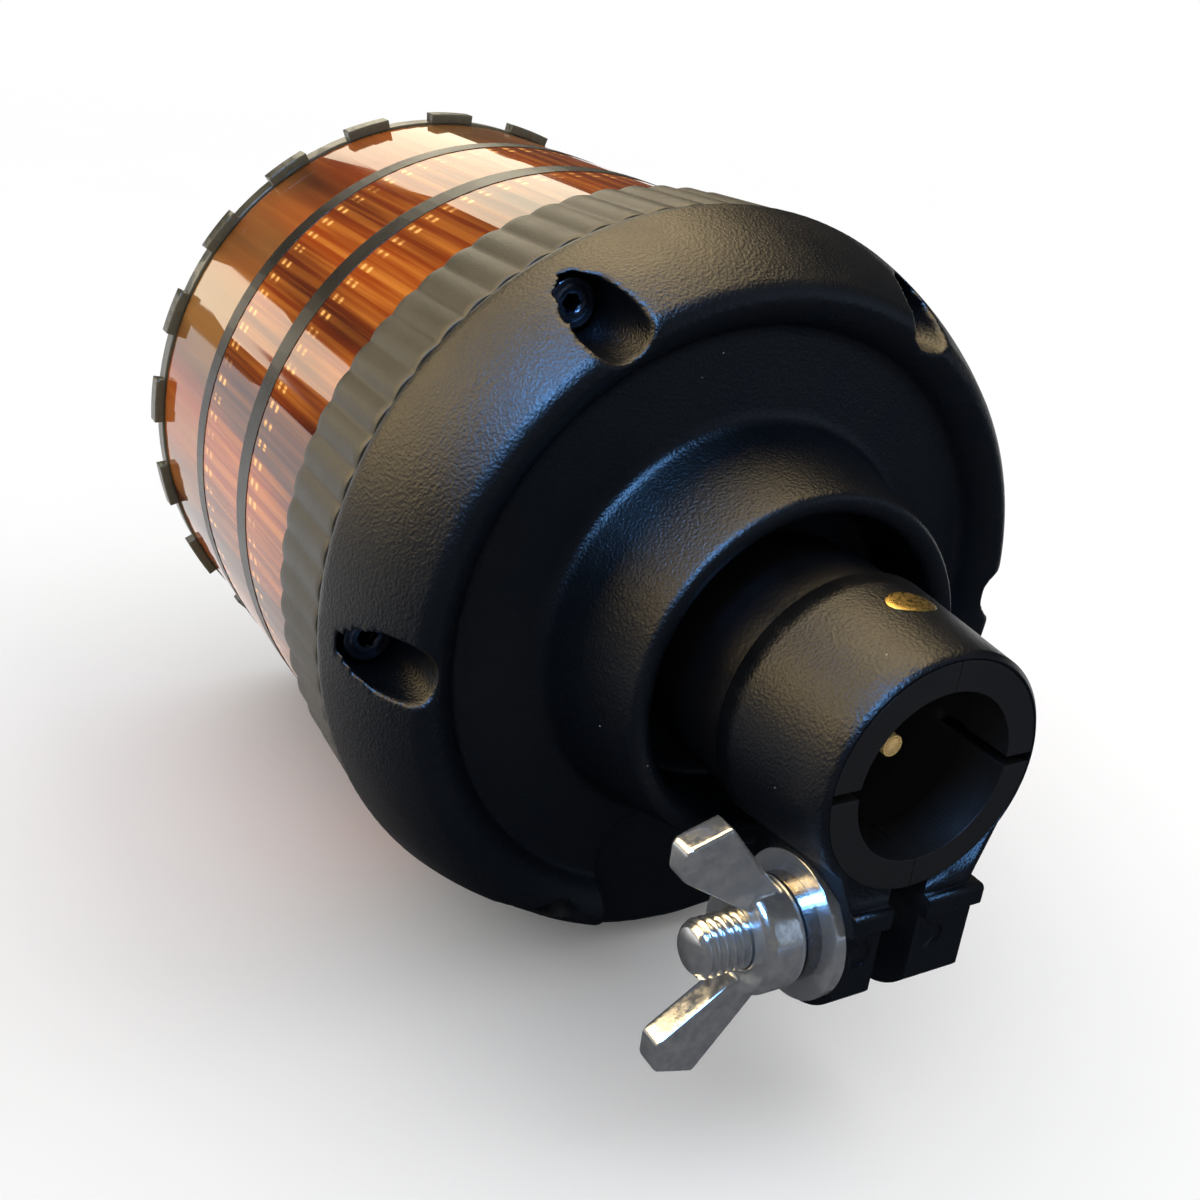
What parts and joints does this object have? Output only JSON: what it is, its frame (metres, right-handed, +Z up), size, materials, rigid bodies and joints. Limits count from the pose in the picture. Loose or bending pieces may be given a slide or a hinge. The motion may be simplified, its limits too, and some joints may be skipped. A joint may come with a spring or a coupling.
{
  "type": "led warning beacon",
  "caption": "Amber LED warning beacon for machines and vehicles, on a flexible stem with a split clamp socket for an upright pole, tightened by a wing nut.",
  "frame": {"origin": "centre of the pole socket's mouth", "axes": "+Z up the beacon's axis from the socket to the lens, ears of the clamp towards -X, wing nut towards -Y"},
  "size_m": [0.1188, 0.1188, 0.1629],
  "materials": {
    "black_plastic": "fine matte black moulded plastic",
    "liner_plastic": "fine grained dark grey moulded plastic",
    "stem_rubber": "matt black rubber",
    "gasket_rubber": "matt black rubber",
    "zinc_steel": "bright zinc plated steel",
    "pin_brass": "bare turned brass",
    "spring_steel": "spring steel wire",
    "earth_metal": "stamped brass sheet",
    "carrier_plastic": "dark insulating plastic",
    "collar_plastic": "satin olive grey moulded plastic",
    "lens_amber": "clear amber moulded plastic",
    "band_plastic": "satin dark band",
    "cap_plastic": "glossy olive grey plastic",
    "core_polymer": "tough elastic polymer",
    "seat_metal": "die cast aluminium",
    "sink_aluminium": "extruded aluminium",
    "plate_steel": "zinc plated steel sheet",
    "board_laminate": "green solder mask",
    "white_board": "white solder mask",
    "led_body": "white package with a yellow window",
    "can_aluminium": "bare aluminium can",
    "part_plastic": "black epoxy",
    "terminal_plastic": "green moulded plastic"
  },
  "bodies": {
    "socket": {"clamp_socket": "black_plastic", "liner_half_left": "liner_plastic", "liner_half_right": "liner_plastic", "earth_contact": "earth_metal", "contact_carrier": "carrier_plastic", "contact_spring": "spring_steel", "clamp_bolt": "zinc_steel", "flat_washer": "zinc_steel", "stem_sleeve": "stem_rubber"},
    "lock_washer": {"spring_washer": "zinc_steel"},
    "wing_nut": {"wing_nut": "zinc_steel"},
    "contact_pin": {"contact_pin": "pin_brass"},
    "flex_core": {"flex_core": "core_polymer"},
    "head": {"seat_plate": "seat_metal", "seat_screws": "zinc_steel", "base_housing": "black_plastic", "base_screws": "zinc_steel", "base_gasket": "gasket_rubber", "collar_ring": "collar_plastic", "lens_gasket": "gasket_rubber", "lens": "lens_amber", "lens_band_lower": "band_plastic", "lens_band_upper": "band_plastic", "cap_seal": "gasket_rubber", "top_cap": "cap_plastic", "chassis_plate": "plate_steel", "chassis_spacers": "plate_steel", "chassis_screws": "zinc_steel", "heat_sink": "sink_aluminium", "heat_sink_screws": "zinc_steel", "led_row_lower": "led_body", "led_row_middle": "led_body", "led_row_upper": "led_body", "driver_board": "board_laminate", "capacitors": "can_aluminium", "inductor": "part_plastic", "driver_chips": "part_plastic", "terminal_block": "terminal_plastic", "led_board_1": "white_board", "led_board_2": "white_board", "led_board_3": "white_board", "led_board_4": "white_board", "led_board_5": "white_board", "led_board_6": "white_board"}
  },
  "joints": [
    {"name": "flex_fore_aft", "type": "hinge", "parent": "socket", "child": "flex_core", "pos_m": [0, 0, 0.045], "axis": [0, 1, 0], "range_deg": [-8, 8], "stiffness_Nm_per_rad": 12},
    {"name": "flex_sideways", "type": "hinge", "parent": "flex_core", "child": "head", "pos_m": [0, 0, 0.045], "axis": [1, 0, 0], "range_deg": [-8, 8], "stiffness_Nm_per_rad": 12},
    {"name": "nut_travel", "type": "slide", "parent": "socket", "child": "lock_washer", "axis": [0, -1, 0], "range_m": [0, 0.0025]},
    {"name": "wing_nut_turn", "type": "hinge", "parent": "lock_washer", "child": "wing_nut", "pos_m": [-0.0261, -0.0162, 0.0093], "axis": [0, -1, 0], "range_deg": [0, 720]},
    {"name": "contact_pin_slide", "type": "slide", "parent": "socket", "child": "contact_pin", "axis": [0, 0, 1], "range_m": [0, 0.004], "stiffness_N_per_m": 500, "springref_m": -0.002, "deforming": ["contact_spring"]}
  ],
  "couplings": [
    {"joint": "wing_nut_turn", "follows": "nut_travel", "rad_per_m": 5026}
  ]
}
